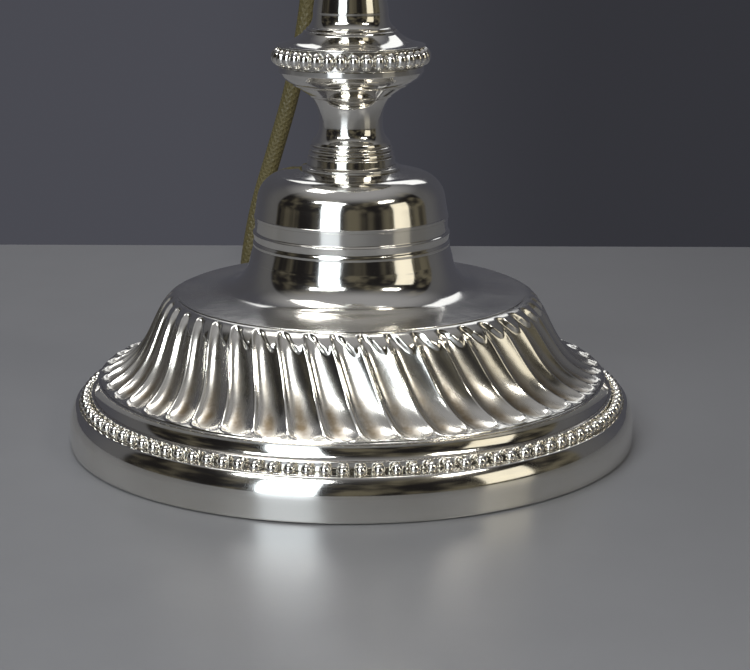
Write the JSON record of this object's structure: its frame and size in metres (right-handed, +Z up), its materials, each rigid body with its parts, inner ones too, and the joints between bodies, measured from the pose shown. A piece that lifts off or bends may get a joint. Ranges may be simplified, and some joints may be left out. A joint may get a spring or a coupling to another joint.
{
  "type": "candlestick table lamp",
  "caption": "Candlestick table lamp with a swirl-fluted round foot, beaded rims, a bayonet lampholder with a push bar, flex and plug.",
  "frame": {"origin": "centre of the foot's underside", "axes": "+Z up along the stick; the flex leaves the lampholder towards +Y, away from the front, which faces -Y"},
  "size_m": [0.14, 0.308, 0.3346],
  "materials": {
    "tarnished_silver_plate": "polished silver plate, lightly tarnished in the hollows",
    "cast_iron": "rough cast",
    "green_baize": "short felted pile",
    "zinc_steel": "zinc plated",
    "lampholder_brass": "lacquered spun brass",
    "contact_brass": "turned brass, bare",
    "porcelain": "glazed white porcelain",
    "spring_steel": "bright wire",
    "dark_bakelite": "moulded, glossy",
    "gold_flex_sheath": "dull gold sheath",
    "flex_core": "thin insulation",
    "tie_strap": "soft strap",
    "plug_shell": "moulded, satin black",
    "fuse_ceramic": "glazed tube",
    "grip_fibre": "pressed fibre"
  },
  "bodies": {
    "lamp": {"foot_rim": "tarnished_silver_plate", "foot_bead_ring": "tarnished_silver_plate", "fluted_foot": "tarnished_silver_plate", "bell": "tarnished_silver_plate", "lower_baluster": "tarnished_silver_plate", "knop_bead_ring": "tarnished_silver_plate", "knop_cover": "tarnished_silver_plate", "column": "tarnished_silver_plate", "column_bead_ring": "tarnished_silver_plate", "shoulder": "tarnished_silver_plate", "candle_cup": "tarnished_silver_plate", "drip_pan": "tarnished_silver_plate", "drip_pan_bead_ring": "tarnished_silver_plate", "base_weight": "cast_iron", "baize_pad": "green_baize", "tie_rod": "zinc_steel", "rod_washer": "zinc_steel", "rod_nut": "zinc_steel", "lock_nut": "zinc_steel", "plug_screw": "zinc_steel", "holder_bush": "lampholder_brass", "lampholder_cap": "lampholder_brass", "lampholder_skirt": "lampholder_brass", "terminals": "contact_brass", "terminal_screws": "contact_brass", "plug_line_pin": "contact_brass", "plug_neutral_pin": "contact_brass", "plug_earth_pin": "contact_brass", "fuse_clips": "contact_brass", "holder_core": "porcelain", "entry_bush": "dark_bakelite", "flex_drop": "gold_flex_sheath", "flex_coil": "gold_flex_sheath", "flex_tail": "gold_flex_sheath", "inner_leads": "flex_core", "cord_tie": "tie_strap", "plug_cover": "plug_shell", "plug_base": "plug_shell", "plug_fuse": "fuse_ceramic", "cord_grip": "grip_fibre"},
    "switch_bar": {"switch_bar": "dark_bakelite"},
    "contact_front": {"plunger_front": "contact_brass", "plunger_spring_front": "spring_steel"},
    "contact_back": {"plunger_back": "contact_brass", "plunger_spring_back": "spring_steel"},
    "shade_ring": {"shade_ring": "lampholder_brass"}
  },
  "joints": [
    {"name": "switch_push", "type": "slide", "parent": "lamp", "child": "switch_bar", "axis": [-1, 0, 0], "range_m": [0, 0.005]},
    {"name": "contact_front_press", "type": "slide", "parent": "lamp", "child": "contact_front", "axis": [0, 0, -1], "range_m": [0, 0.003], "stiffness_N_per_m": 1200, "springref_m": -0.001, "deforming": ["plunger_spring_front"]},
    {"name": "contact_back_press", "type": "slide", "parent": "lamp", "child": "contact_back", "axis": [0, 0, -1], "range_m": [0, 0.003], "stiffness_N_per_m": 1200, "springref_m": -0.001, "deforming": ["plunger_spring_back"]},
    {"name": "shade_ring_lift", "type": "slide", "parent": "lamp", "child": "shade_ring", "axis": [0, 0, 1], "range_m": [0, 0.03]}
  ]
}
